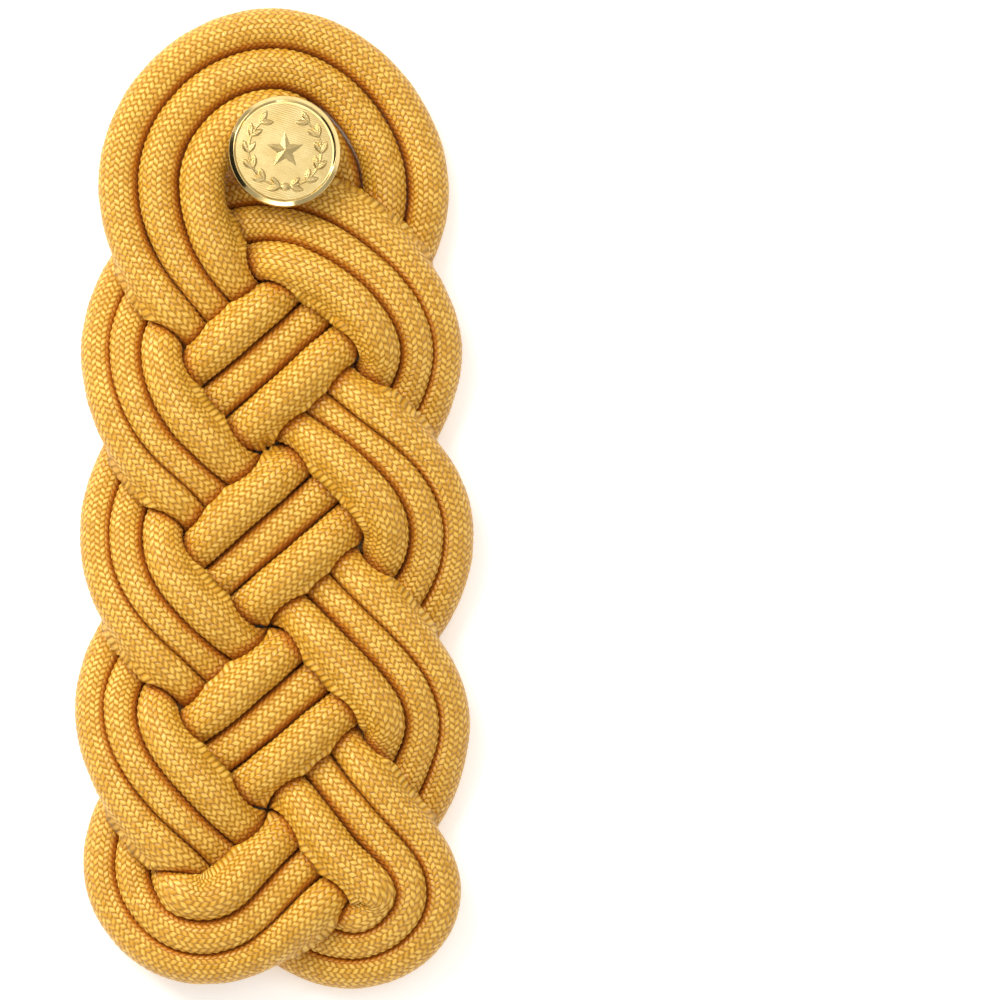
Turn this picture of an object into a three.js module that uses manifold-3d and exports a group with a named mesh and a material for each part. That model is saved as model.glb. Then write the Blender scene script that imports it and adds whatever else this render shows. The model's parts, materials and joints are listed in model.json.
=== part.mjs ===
// Shoulder knot: three braided cords laid side by side in one closed flat plait,
// with a stamped button in its top loop. Millimetres. It lies on its back with its
// middle line along Y, the button end at +Y and the worn side up.
import * as THREE from "three";
import Module from "manifold-3d";
import { mergeVertices } from "three/addons/utils/BufferGeometryUtils.js";

const wasm = await Module();
wasm.setup();

// Sizes of the plait
const knotLength = 138.7;
const knotWidth = 55.6;
const cordDiameter = 6.2;
const cordPitch = 5.25;
const restPlane = 6.7;      // height of the plait's middle plane over the table
const sideCordWave = 3.5;   // rise over and fall under of a band's two side cords
const middleCordWave = 1.9; // the same of its middle cord, which sinks between them
const bendLean = 1.6;       // how far the outer cord of a bend tucks under the middle one
const pressedDistance = 5.0; // the spacing that pressed cords are pushed back towards
const cordGap = 0.5;        // clearance between pressed cords
const endGap = 0.4;         // clearance between a cord's two butted ends
const innerBendShare = 0.7; // how much of a bend's inner radius a cord may fill

// Sizes of the button
const buttonDiameter = 15.9;
const buttonTilt = THREE.MathUtils.degToRad(10);
const buttonLean = THREE.MathUtils.degToRad(50); // plan direction that the face leans to
const rimWidth = 1.0;
const rimHeight = 2.3;
const faceDome = 0.35;
const faceSink = 0.25;
const plateThickness = 0.9;
const plateDiameter = 13.8;
const shankDiameter = 2.6;
const footDiameter = 4.0;
const footThickness = 1.0;
const seatGap = 0.3;
const reliefHeight = 0.4;
const wreathRadius = 5.2;
const leafLength = 1.9;
const leafWidth = 0.85;
const leafSpread = 0.55;    // how far a pair's leaves stand apart, in leaf widths each way
const leafSplay = 0.5;      // how far they turn away from each other, in radians each way
const starRadius = 2.7;
const starWaist = 0.42;     // radius of its inner corners, as a share of the points'

// The rim's section, outside to crest: how far in from its edge, as a share of the rim's
// width, and how high, as a share of its height
const rimColumns = ["inward", "up"];
const rimTable = [
  [0.3, 0],
  [0, 0.35],
  [0, 0.75],
  [0.65, 1],
].map((row) => Object.fromEntries(rimColumns.map((name, i) => [name, row[i]])));

// Resolution
const samples = 480;    // per cord, for the heights
const cordSteps = 180;  // rings of a cord's solid
const halfSteps = 2 * cordSteps;
const cordSides = 8;
const selfClear = 18;   // samples of its own band, each way, that a cord isn't pushed off
const pressRange = 1.3; // how far off a strand still presses on another, in cord diameters
const spanSteps = 60;
const settleRounds = 160;
const turnSegments = 40;

// The band's middle line, once round the plait. x is a share of half the width, y a
// share of the length, heading is in degrees from +X, reach is the share of a span's
// chord at which its handles stand, left and right are the places of the side cords as
// shares of the pitch, and outer is the side that is outermost there (1 right, -1 left).
const columns = ["x", "y", "heading", "reach", "left", "right", "outer"];
const bandTable = [
  [-0.010, 0.939, 180.0, 0.37, 1.13, 1.05, 1],
  [-0.587, 0.823, 270.0, 0.36, 1.16, 1.03, 1],
  [-0.061, 0.644, 315.0, 0.38, 0.80, 0.76, 0],
  [0.770, 0.463, 270.0, 0.30, 0.70, 0.97, -1],
  [-0.027, 0.276, 221.0, 0.44, 1.10, 1.10, 0],
  [-0.719, 0.124, 270.0, 0.32, 0.89, 0.76, 1],
  [-0.362, 0.052, 0.0, 0.40, 1.00, 0.70, 1],
  [0.143, 0.120, 41.0, 0.36, 1.00, 1.00, 0],
  [0.668, 0.214, 67.0, 0.33, 0.95, 0.81, 1],
  [0.750, 0.269, 90.0, 0.33, 0.95, 0.70, 1],
  [0.495, 0.359, 134.0, 0.33, 1.05, 0.74, 0.6],
  [-0.034, 0.458, 139.0, 0.33, 0.85, 0.85, 0],
  [-0.536, 0.545, 134.0, 0.33, 0.68, 1.00, -0.6],
  [-0.750, 0.652, 90.0, 0.33, 0.65, 0.92, -1],
  [-0.046, 0.779, 358.0, 0.37, 0.97, 0.97, -1],
  [0.719, 0.650, 270.0, 0.28, 0.65, 0.92, -1],
  [-0.036, 0.458, 220.5, 0.33, 1.10, 1.10, 0],
  [-0.520, 0.374, 222.0, 0.33, 0.90, 0.90, 0],
  [-0.781, 0.284, 270.0, 0.33, 0.95, 0.65, 1],
  [-0.485, 0.174, 314.0, 0.33, 1.05, 0.80, 0.6],
  [-0.133, 0.112, 319.0, 0.36, 0.85, 0.70, 0],
  [0.398, 0.047, 0.0, 0.36, 0.70, 0.70, 1],
  [0.684, 0.096, 90.0, 0.33, 0.84, 0.81, 1],
  [0.480, 0.165, 129.0, 0.33, 1.10, 0.78, 0.6],
  [-0.027, 0.276, 137.0, 0.40, 0.80, 1.05, 0],
  [-0.750, 0.463, 90.0, 0.34, 0.68, 0.95, -1],
  [-0.061, 0.640, 41.5, 0.36, 1.10, 1.10, 0],
  [0.490, 0.750, 55.0, 0.33, 0.95, 0.95, 0],
  [0.566, 0.814, 90.0, 0.33, 1.14, 1.11, 0],
].map((row) => Object.fromEntries(columns.map((name, i) => [name, row[i]])));

// Place of the button's centre, and of the cords' butted ends, as shares as above
const buttonPlace = { x: 0.048 * knotWidth / 2, y: 0.853 * knotLength };
const endsPlace = { x: -0.061 * knotWidth / 2, y: 0.644 * knotLength };

// What a number is between two others, at a share t of the way
const mix = (a, b, t) => a + (b - a) * t;

// The band's middle line as Bezier spans between the table's rows
function bandSpans() {
  const points = [];
  const rows = bandTable.map((row) => {
    const heading = THREE.MathUtils.degToRad(row.heading);
    return {
      ...row,
      at: new THREE.Vector2(row.x * knotWidth / 2, row.y * knotLength),
      ahead: new THREE.Vector2(Math.cos(heading), Math.sin(heading)),
    };
  });
  rows.forEach((from, i) => {
    const to = rows[(i + 1) % rows.length];
    const chord = from.at.distanceTo(to.at);
    const handle1 = from.at.clone().addScaledVector(from.ahead, from.reach * chord);
    const handle2 = to.at.clone().addScaledVector(to.ahead, -to.reach * chord);
    const span = new THREE.CubicBezierCurve(from.at, handle1, handle2, to.at);
    for (let step = 0; step < spanSteps; step++) {
      const t = step / spanSteps;
      const ease = (1 - Math.cos(Math.PI * t)) / 2;
      points.push({
        at: span.getPoint(t),
        left: mix(from.left, to.left, ease) * cordPitch,
        right: mix(from.right, to.right, ease) * cordPitch,
        outer: mix(from.outer, to.outer, ease),
      });
    }
  });
  return points;
}

// The same line at evenly spaced samples, beginning where the cords' ends meet
function evenBand() {
  const points = bandSpans();
  const along = [0];
  points.forEach((p, i) => along.push(along[i] + p.at.distanceTo(points[(i + 1) % points.length].at)));
  const total = along.at(-1);
  const ends = new THREE.Vector2(endsPlace.x, endsPlace.y);
  const misses = points.map((p) => p.at.distanceTo(ends));
  const nearest = misses.indexOf(Math.min(...misses));
  const band = [];
  for (let i = 0, k = 0; i < samples; i++) {
    const wanted = (along[nearest] + (i / samples) * total) % total;
    if (wanted < along[k]) k = 0;
    while (along[k + 1] <= wanted) k++;
    const t = (wanted - along[k]) / (along[k + 1] - along[k]);
    const [p, q] = [points[k], points[(k + 1) % points.length]];
    band.push({
      at: p.at.clone().lerp(q.at, t),
      left: mix(p.left, q.left, t),
      right: mix(p.right, q.right, t),
      outer: mix(p.outer, q.outer, t),
    });
  }
  return band;
}

// Where along the line, in samples, it crosses itself
function crossingStops(band) {
  const stops = [];
  for (let i = 0; i < samples; i++) {
    const a = band[i].at;
    const d = band[(i + 1) % samples].at.clone().sub(a);
    for (let j = i + 2; j < samples; j++) {
      if (i === 0 && j === samples - 1) continue;
      const b = band[j].at;
      const e = band[(j + 1) % samples].at.clone().sub(b);
      const w = b.clone().sub(a);
      const cross = d.cross(e);
      const t = w.cross(e) / cross;
      const u = w.cross(d) / cross;
      if (t >= 0 && t < 1 && u >= 0 && u < 1) stops.push(i + t, j + u);
    }
  }
  return stops.sort((a, b) => a - b);
}

// Over and under by turns: 1 at one crossing, -1 at the next, flattened at both.
// The line begins at a crossing that it passes under.
function lays(band) {
  const stops = crossingStops(band);
  const firstLay = -1;
  const ring = [stops.at(-1) - samples, ...stops, stops[0] + samples];
  return band.map((_, i) => {
    let k = 0;
    while (ring[k + 1] <= i) k++;
    const nearStart = stops[0] < samples - stops.at(-1) ? 1 : 0;
    const turn = k + (i - ring[k]) / (ring[k + 1] - ring[k]) - nearStart;
    return firstLay * Math.sin((Math.PI / 2) * Math.cos(Math.PI * turn));
  });
}

// The three cords' middle lines: side is -1 left of travel, 0 in the middle, 1 right
function cordLines() {
  const band = evenBand();
  const lay = lays(band);
  const goals = [-1, 0, 1].map((side) => band.map((p, i) => {
    const next = band[(i + 1) % samples].at;
    const last = band.at(i - 1).at;
    const toRight = new THREE.Vector2(next.y - last.y, last.x - next.x).normalize();
    const off = side < 0 ? -p.left : side * p.right;
    const evenWave = (sideCordWave + middleCordWave) / 2;
    const wave = mix(side === 0 ? middleCordWave : sideCordWave, evenWave, Math.abs(p.outer));
    const at = p.at.clone().addScaledVector(toRight, off);
    return new THREE.Vector3(at.x, at.y, restPlane + wave * lay[i] - bendLean * side * p.outer);
  }));
  return settled(goals);
}

// Pairs of samples that lie close in plan, where the band lies on itself further along
function closePairs(lines) {
  const pairs = [];
  const all = lines.flatMap((line, cord) => line.map((p, i) => ({ p, cord, i })));
  for (let m = 0; m < all.length; m++) {
    for (let n = m + 1; n < all.length; n++) {
      const [a, b] = [all[m], all[n]];
      const apart = Math.hypot(a.p.x - b.p.x, a.p.y - b.p.y);
      if (apart >= pressedDistance) continue;
      const steps = Math.abs(a.i - b.i);
      if (Math.min(steps, samples - steps) < selfClear) continue;
      const rise = Math.sqrt(pressedDistance ** 2 - apart ** 2);
      pairs.push({ a: a.p, b: b.p, rise, sign: a.p.z >= b.p.z ? 1 : -1 });
    }
  }
  return pairs;
}

// Heights: each strand is pushed off those that it lies on, drawn back towards its own
// wave and stiffened along its length, by turns, until the plait is at rest
function settled(lines) {
  const push = 0.35;
  const pull = 0.06;
  const stiff = 0.25;
  const pairs = closePairs(lines);
  const all = lines.flat();
  const goal = new Map(all.map((p) => [p, p.z]));
  for (let round = 0; round < settleRounds; round++) {
    const moves = new Map(all.map((p) => [p, { sum: 0, hits: 0 }]));
    for (const { a, b, rise, sign } of pairs) {
      const lack = rise - sign * (a.z - b.z);
      if (lack <= 0) continue;
      moves.get(a).sum += sign * lack;
      moves.get(b).sum -= sign * lack;
      moves.get(a).hits++;
      moves.get(b).hits++;
    }
    for (const p of all) {
      const { sum, hits } = moves.get(p);
      p.z += (push * sum) / Math.max(hits, 1) + pull * (goal.get(p) - p.z);
    }
    for (const line of lines) {
      const before = line.map((p) => p.z);
      line.forEach((p, i) => {
        p.z += stiff * ((before.at(i - 1) + before[(i + 1) % samples]) / 2 - before[i]);
      });
    }
  }
  return lines;
}

// Places at half steps along one strand, with the strand's two cross directions and
// the pull of its bend
function ringsOf(line) {
  const along = [0];
  line.forEach((p, i) => along.push(along[i] + p.distanceTo(line[(i + 1) % samples])));
  const total = along.at(-1);
  const at = (length) => {
    const wanted = (length + total) % total;
    let k = 0;
    while (along[k + 1] <= wanted) k++;
    const t = (wanted - along[k]) / (along[k + 1] - along[k]);
    return { place: line[k % samples].clone().lerp(line[(k + 1) % samples], t), sample: k + t };
  };
  const reach = total / samples;
  return Array.from({ length: halfSteps + 1 }, (_, half) => {
    const length = endGap / 2 + (half / halfSteps) * (total - endGap);
    const { place, sample } = at(length);
    const back = at(length - reach).place;
    const front = at(length + reach).place;
    const heading = front.clone().sub(back).normalize();
    const across = new THREE.Vector3(heading.y, -heading.x, 0).normalize();
    const up = across.clone().cross(heading);
    const bend = front.add(back).addScaledVector(place, -2).divideScalar(reach * reach);
    return { place, sample, across, up, bend };
  });
}

// What lies near a ring: other strands, and its own further along
function neighboursOf(ring, lines, cord) {
  const near = [];
  lines.forEach((line, other) => line.forEach((p, i) => {
    const distance = p.distanceTo(ring.place);
    if (distance > cordDiameter * pressRange) return;
    const steps = Math.abs(i - ring.sample);
    if (other === cord && Math.min(steps, samples - steps) < selfClear) return;
    near.push({ toward: p.clone().sub(ring.place).divideScalar(distance), distance });
  }));
  return near;
}

// A cross direction of a ring, from the section's own x and y
function directionOf(ring, x, y) {
  return ring.up.clone().multiplyScalar(y).addScaledVector(ring.across, -x);
}

// How far the cord's side stands from its middle line in one direction: its own radius,
// or less where a neighbour presses it flat halfway to the neighbour's middle line, or
// where the inside of its own bend is tight
function pressedReach(ring, x, y) {
  const direction = directionOf(ring, x, y);
  let reach = cordDiameter / 2;
  for (const { toward, distance } of ring.neighbours) {
    const facing = direction.dot(toward);
    if (facing > 0) reach = Math.min(reach, (distance - cordGap) / 2 / facing);
  }
  const inward = direction.dot(ring.bend);
  if (inward > 0) reach = Math.min(reach, innerBendShare / inward);
  return reach;
}

// One cord's solid: a straight bar whose rings are laid along the route and pressed. A
// ring gives way to what presses half a step before and after it too, so that the flat
// facets between two rings stay clear.
function cordGeometry(lines, cord) {
  const rings = ringsOf(lines[cord]);
  for (const ring of rings) ring.neighbours = neighboursOf(ring, lines, cord);
  const section = new THREE.Shape();
  const corners = Array.from({ length: cordSides }, (_, side) => {
    const angle = ((side + 0.5) / cordSides) * 2 * Math.PI;
    return new THREE.Vector2(Math.cos(angle), Math.sin(angle));
  });
  section.setFromPoints(corners);
  const bar = new THREE.ExtrudeGeometry(section, { depth: 1, steps: cordSteps, bevelEnabled: false });
  const place = bar.getAttribute("position");
  for (let i = 0; i < place.count; i++) {
    const [x, y] = [place.getX(i), place.getY(i)];
    const half = Math.round(place.getZ(i) * halfSteps);
    const close = rings.slice(Math.max(half - 1, 0), half + 2);
    const reach = Math.min(...close.map((ring) => pressedReach(ring, x, y)));
    const laid = rings[half].place.clone().addScaledVector(directionOf(rings[half], x, y), reach);
    place.setXYZ(i, laid.x, laid.y, Math.max(laid.z, 0));
  }
  return bar;
}

// Solids of manifold-3d, for the button's booleans only
function solidOf(geometry) {
  geometry.deleteAttribute("normal");
  geometry.deleteAttribute("uv");
  const merged = mergeVertices(geometry, 1e-5);
  return new wasm.Manifold(new wasm.Mesh({
    numProp: 3,
    vertProperties: new Float32Array(merged.attributes.position.array),
    triVerts: new Uint32Array(merged.index.array),
  }));
}

function geometryOf(solid) {
  const { vertProperties, triVerts } = solid.getMesh();
  const geometry = new THREE.BufferGeometry();
  geometry.setAttribute("position", new THREE.BufferAttribute(vertProperties, 3));
  geometry.setIndex(new THREE.BufferAttribute(triVerts, 1));
  return geometry;
}

// A turned solid about +Z from a profile of [radius, height] rows that runs upwards
function turned(profile) {
  const points = profile.map(([radius, height]) => new THREE.Vector2(radius, height));
  return new THREE.LatheGeometry(points, turnSegments).rotateX(Math.PI / 2);
}

// The stamped face: polished rim, sunk and slightly domed ground, hollow back
function faceBlank() {
  const outer = buttonDiameter / 2;
  const ground = outer - rimWidth;
  const backRadius = plateDiameter / 2 + seatGap;
  const backHeight = plateThickness + seatGap;
  const groundStops = [1, 2 / 3, 1 / 3, 0];
  const profile = [
    [0, backHeight],
    [backRadius, backHeight],
    [backRadius, 0],
    ...rimTable.map(({ inward, up }) => [outer - rimWidth * inward, rimHeight * up]),
    ...groundStops.map((share) => [ground * share, groundAt(ground * share)]),
  ];
  return turned(profile);
}

// Height of the domed ground at a distance from the button's axis
function groundAt(radius) {
  const share = radius / (buttonDiameter / 2 - rimWidth);
  return rimHeight - faceSink + faceDome * (1 - share * share);
}

// One laurel leaf of the wreath, half sunk in the ground
function leaf(angle, lift, splay) {
  const radius = wreathRadius + lift;
  const shape = new THREE.SphereGeometry(1, 6, 4).rotateX(Math.PI / 2);
  shape.scale(leafLength / 2, leafWidth / 2, reliefHeight);
  shape.rotateZ(angle + splay);
  return shape.translate(radius * Math.cos(angle), radius * Math.sin(angle), groundAt(radius));
}

// A wreath of two branches that meet at the foot, open at the top
function wreathLeaves() {
  const pairsPerBranch = 6;
  const foot = -Math.PI / 2;
  const firstTurn = THREE.MathUtils.degToRad(17);
  const lastTurn = THREE.MathUtils.degToRad(148);
  const leaves = [];
  for (const hand of [-1, 1]) {
    for (let k = 0; k < pairsPerBranch; k++) {
      const turn = mix(firstTurn, lastTurn, k / (pairsPerBranch - 1));
      const angle = foot + hand * turn;
      const along = hand * Math.PI / 2;
      leaves.push(leaf(angle, leafWidth * leafSpread, along - hand * leafSplay));
      leaves.push(leaf(angle, -leafWidth * leafSpread, along + hand * leafSplay));
    }
  }
  return leaves;
}

// A five-pointed star in the middle of the face
function star() {
  const corners = 10;
  const shape = new THREE.Shape(Array.from({ length: corners }, (_, k) => {
    const radius = starRadius * (k % 2 ? starWaist : 1);
    const angle = Math.PI / 2 + (k / corners) * 2 * Math.PI;
    return new THREE.Vector2(radius * Math.cos(angle), radius * Math.sin(angle));
  }));
  const depth = reliefHeight + faceDome;
  const solid = new THREE.ExtrudeGeometry(shape, { depth, bevelEnabled: false });
  return solid.translate(0, 0, rimHeight - faceSink);
}

// The whole stamped face in one solid
function buttonFaceGeometry() {
  const pieces = [...wreathLeaves(), star()].map(solidOf);
  return geometryOf(pieces.reduce((whole, piece) => whole.add(piece), solidOf(faceBlank())));
}

// Height over the table of the button's seat: clear of every cord under its leaning face
function seatHeight(cordMeshes) {
  const centre = new THREE.Vector2(buttonPlace.x, buttonPlace.y);
  const lean = new THREE.Vector2(Math.cos(buttonLean), Math.sin(buttonLean));
  let seat = 0;
  for (const mesh of cordMeshes) {
    const place = mesh.geometry.getAttribute("position");
    for (let i = 0; i < place.count; i++) {
      const from = new THREE.Vector2(place.getX(i), place.getY(i)).sub(centre);
      if (from.length() > buttonDiameter / 2 + seatGap) continue;
      seat = Math.max(seat, place.getZ(i) + Math.tan(buttonTilt) * from.dot(lean));
    }
  }
  return seat + seatGap;
}

// Turns a button piece made about +Z so that its face leans as the button lies
function tilted(geometry) {
  const axis = new THREE.Vector3(-Math.sin(buttonLean), Math.cos(buttonLean), 0);
  return geometry.applyMatrix4(new THREE.Matrix4().makeRotationAxis(axis, buttonTilt));
}

// The back: a plate inside the face's turned-in edge, its shank and the foot, soldered
function buttonBackGeometry(seat) {
  const plate = tilted(turned([
    [0, 0],
    [plateDiameter / 2, 0],
    [plateDiameter / 2, plateThickness],
    [0, plateThickness],
  ]));
  const shank = turned([
    [0, -seat],
    [footDiameter / 2, -seat],
    [footDiameter / 2, footThickness - seat],
    [shankDiameter / 2, footThickness - seat],
    [shankDiameter / 2, plateThickness / 2],
    [0, plateThickness / 2],
  ]);
  return geometryOf(solidOf(plate).add(solidOf(shank)));
}

// Materials
const material = (color, roughness, metalness) => new THREE.MeshStandardMaterial({ color, roughness, metalness });
const cordMaterial = () => material(0xe0a63c, 0.6, 0);
const giltMaterial = () => material(0xd9c27a, 0.35, 1);

function named(name, geometry, material) {
  const mesh = new THREE.Mesh(geometry, material);
  mesh.name = name;
  return mesh;
}

// Assembly, with the middle of the knot's own box over the origin
const knot = new THREE.Group();
const lines = cordLines();
const cords = ["cord_inner", "cord_middle", "cord_outer"].map((name, cord) => (
  named(name, cordGeometry(lines, cord), cordMaterial())
));
knot.add(...cords);

const seat = seatHeight(cords);
const button = new THREE.Group();
button.position.set(buttonPlace.x, buttonPlace.y, seat);
button.add(named("button_face", tilted(buttonFaceGeometry()), giltMaterial()));
button.add(named("button_back", buttonBackGeometry(seat), giltMaterial()));
knot.add(button);

const middle = new THREE.Box3().setFromObject(knot, true).getCenter(new THREE.Vector3());
knot.position.set(-middle.x, -middle.y, 0);

export default knot;
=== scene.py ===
"""A plaited shoulder knot: three braided cords side by side in one closed flat plait,
with a stamped gilt button in its top loop.

Shapes are worked out in millimetres and put into the meshes in metres, in the part's own
frame: the knot lies on its back, with the button end at +Y and the worn side up. Each
cord becomes a round braid whose stitches stand up in the mesh, and the button's plain
face becomes a struck one.
"""

from __future__ import annotations

import json
import logging
import math
from dataclasses import dataclass
from enum import Enum
from typing import NamedTuple

import bpy
import numpy as np
from bpy.types import Material, Node, NodeTree, Object
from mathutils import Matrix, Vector


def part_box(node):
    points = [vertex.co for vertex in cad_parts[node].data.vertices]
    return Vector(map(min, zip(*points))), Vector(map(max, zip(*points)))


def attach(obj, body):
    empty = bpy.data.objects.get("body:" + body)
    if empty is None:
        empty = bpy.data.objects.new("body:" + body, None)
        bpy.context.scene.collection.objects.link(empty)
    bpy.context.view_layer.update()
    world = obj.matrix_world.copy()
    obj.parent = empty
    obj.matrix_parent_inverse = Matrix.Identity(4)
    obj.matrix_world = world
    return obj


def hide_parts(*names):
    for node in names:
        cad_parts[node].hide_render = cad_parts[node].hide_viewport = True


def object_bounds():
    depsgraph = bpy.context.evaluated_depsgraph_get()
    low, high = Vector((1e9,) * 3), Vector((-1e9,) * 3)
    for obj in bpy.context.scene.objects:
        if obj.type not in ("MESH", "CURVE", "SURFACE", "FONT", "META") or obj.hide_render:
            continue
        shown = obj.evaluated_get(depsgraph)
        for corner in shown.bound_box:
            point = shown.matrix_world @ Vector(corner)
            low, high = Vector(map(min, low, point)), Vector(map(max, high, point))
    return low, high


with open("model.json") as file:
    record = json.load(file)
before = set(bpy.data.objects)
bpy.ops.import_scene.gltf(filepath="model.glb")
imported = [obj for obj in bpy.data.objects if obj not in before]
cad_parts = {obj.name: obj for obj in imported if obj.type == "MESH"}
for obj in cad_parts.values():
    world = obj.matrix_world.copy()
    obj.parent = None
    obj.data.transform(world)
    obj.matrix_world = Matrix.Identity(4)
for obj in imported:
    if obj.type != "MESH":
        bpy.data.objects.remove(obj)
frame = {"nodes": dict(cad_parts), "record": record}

CAD_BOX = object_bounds()
MM = 0.001
LOG = logging.getLogger("shoulder_knot")
SQUARE_CORNERS = ((-1, -1), (1, -1), (1, 1), (-1, 1))
TINY = 1e-6
Array = np.ndarray


class Slot(Enum):
    """Material slots of the record, named for the pieces that the scene makes; no piece is
    given one here.
    """

    CORD = "braided_cord"
    FACE = "button_gilt"


class Side(Enum):
    """Place of a cord in the band, seen along the band's travel."""

    LEFT = -1
    MIDDLE = 0
    RIGHT = 1


# Chosen places on the band's middle line: x as a share of half the width and y of the
# length, the heading in degrees from +X, the share of a span's chord at which its handles
# stand, the left and right cords' places as shares of the pitch, and the side that is
# outermost there, 1 for right and -1 for left.
BAND_TABLE = (
    (-0.01, 0.939, 180, 0.37, 1.13, 1.05, 1),
    (-0.587, 0.823, 270, 0.36, 1.16, 1.03, 1),
    (-0.061, 0.644, 315, 0.38, 0.8, 0.76, 0),
    (0.77, 0.463, 270, 0.3, 0.7, 0.97, -1),
    (-0.027, 0.276, 221, 0.44, 1.1, 1.1, 0),
    (-0.719, 0.124, 270, 0.32, 0.89, 0.76, 1),
    (-0.362, 0.052, 0, 0.4, 1, 0.7, 1),
    (0.143, 0.12, 41, 0.36, 1, 1, 0),
    (0.668, 0.214, 67, 0.33, 0.95, 0.81, 1),
    (0.75, 0.269, 90, 0.33, 0.95, 0.7, 1),
    (0.495, 0.359, 134, 0.33, 1.05, 0.74, 0.6),
    (-0.034, 0.458, 139, 0.33, 0.85, 0.85, 0),
    (-0.536, 0.545, 134, 0.33, 0.68, 1, -0.6),
    (-0.75, 0.652, 90, 0.33, 0.65, 0.92, -1),
    (-0.046, 0.779, 358, 0.37, 0.97, 0.97, -1),
    (0.719, 0.65, 270, 0.28, 0.65, 0.92, -1),
    (-0.036, 0.458, 220.5, 0.33, 1.1, 1.1, 0),
    (-0.52, 0.374, 222, 0.33, 0.9, 0.9, 0),
    (-0.781, 0.284, 270, 0.33, 0.95, 0.65, 1),
    (-0.485, 0.174, 314, 0.33, 1.05, 0.8, 0.6),
    (-0.133, 0.112, 319, 0.36, 0.85, 0.7, 0),
    (0.398, 0.047, 0, 0.36, 0.7, 0.7, 1),
    (0.684, 0.096, 90, 0.33, 0.84, 0.81, 1),
    (0.48, 0.165, 129, 0.33, 1.1, 0.78, 0.6),
    (-0.027, 0.276, 137, 0.4, 0.8, 1.05, 0),
    (-0.75, 0.463, 90, 0.34, 0.68, 0.95, -1),
    (-0.061, 0.64, 41.5, 0.36, 1.1, 1.1, 0),
    (0.49, 0.75, 55, 0.33, 0.95, 0.95, 0),
    (0.566, 0.814, 90, 0.33, 1.14, 1.11, 0),
)


def linear(hex_colour: str) -> tuple[float, float, float, float]:
    """Turns an sRGB hex colour to linear.

    Args:
        hex_colour: six hex digits after a hash sign.

    Returns:
        Linear red, green and blue, and an alpha of one.
    """
    parts = [int(hex_colour[i : i + 2], 16) / 255 for i in (1, 3, 5)]
    red, green, blue = (
        part / 12.92 if part <= 0.04045 else ((part + 0.055) / 1.055) ** 2.4
        for part in parts
    )
    return red, green, blue, 1.0


# A finish's node: name, kind, settings and inputs. Settings are its attributes, or one
# word for a sum's operation. Inputs are by name or number, or in order, and one that is a
# word is an earlier node's first output, or the one named or numbered after a dot.
NodeRow = tuple[str, str, "dict[str, object] | str", "dict | tuple[object, ...]"]


def add_node(tree: NodeTree, row: NodeRow, nodes: dict[str, Node]) -> None:
    """Adds one node, with its settings and its links.

    Args:
        tree: the node tree that takes the node.
        row: what the node is.
        nodes: the nodes so far by name, which take the new one.
    """
    name, kind, settings, inputs = row
    node = nodes[name] = tree.nodes.new(f"ShaderNode{kind}")
    if isinstance(settings, str):
        settings = {"operation": settings}
    for key, value in settings.items():
        setattr(node, key, value)
    for key, value in inputs.items() if isinstance(inputs, dict) else enumerate(inputs):
        if isinstance(value, str):
            source, _, output = value.partition(".")
            output = int(output) if output.isdigit() else output or 0
            tree.links.new(nodes[source].outputs[output], node.inputs[key])
        else:
            node.inputs[key].default_value = value


def make_finish(
    name: str, rows: tuple[NodeRow, ...], skin: dict[str, object]
) -> tuple[Material, dict[str, Node]]:
    """Makes a material from the table of its nodes.

    Args:
        name: the material's name.
        rows: its nodes, each after those that it reads.
        skin: inputs of its shader.

    Returns:
        The material, and its nodes by name.
    """
    material = bpy.data.materials.new(name)
    material.use_nodes = True
    tree = material.node_tree
    tree.nodes.clear()
    nodes: dict[str, Node] = {}
    shader = ("skin", "BsdfPrincipled", {}, skin)
    output = ("output", "OutputMaterial", {}, {"Surface": "skin"})
    for row in (*rows, shader, output):
        add_node(tree, row, nodes)
    return material, nodes


def grains(size: float, detail: float) -> dict[str, object]:
    """Inputs of a noise on object coordinates with grains of a size in millimetres."""
    return {"Vector": "place.Object", "Scale": 1 / (size * MM), "Detail": detail}


def bump(height: str, depth: float, strength: float = 1.0) -> NodeRow:
    """The relief's row: which node gives it, its depth in millimetres and its strength."""
    return "bump", "Bump", {}, {"Height": height, "Strength": strength, "Distance": depth * MM}


def grid_corners(rows: int, columns: int) -> list[tuple[Array, Array]]:
    """Row and column of the four corners of each face of a grid.

    Args:
        rows: faces along the grid.
        columns: faces across it.

    Returns:
        For each corner in turn, the rows and the columns.
    """
    r, c = np.meshgrid(np.arange(rows), np.arange(columns), indexing="ij")
    return [(r, c), (r + 1, c), (r + 1, c + 1), (r, c + 1)]


def unit(vectors: Array) -> Array:
    """Gives vectors, in the last axis, a length of one. One without a length stays so."""
    return vectors / np.maximum(np.linalg.norm(vectors, axis=-1, keepdims=True), TINY)


def eased(share: Array) -> Array:
    """A share held between 0 and 1 and eased at both, which is 3 s^2 - 2 s^3."""
    held = np.clip(share, 0, 1)
    return held**2 * (3 - 2 * held)


def levelled(lines: Array, share: float) -> Array:
    """Heights along closed lines, each drawn towards the mean of the two beside it.

    Args:
        lines: an array of line and sample.
        share: how much of the way each goes.

    Returns:
        The heights moved.
    """
    beside = (np.roll(lines, 1, axis=1) + np.roll(lines, -1, axis=1)) / 2
    return lines + share * (beside - lines)


def soft_least(a: Array, b: Array, width: float) -> Array:
    """The lesser of two arrays, rounded where they are within a width of each other.

    The lesser, less width/4 times the square of (1 - |a-b|/width) where that is positive.

    Args:
        a: one array.
        b: the other.
        width: how far apart they still blend.

    Returns:
        The rounded least.
    """
    near = np.clip(1 - np.abs(a - b) / width, 0, None)
    return np.minimum(a, b) - near**2 * width / 4


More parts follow.
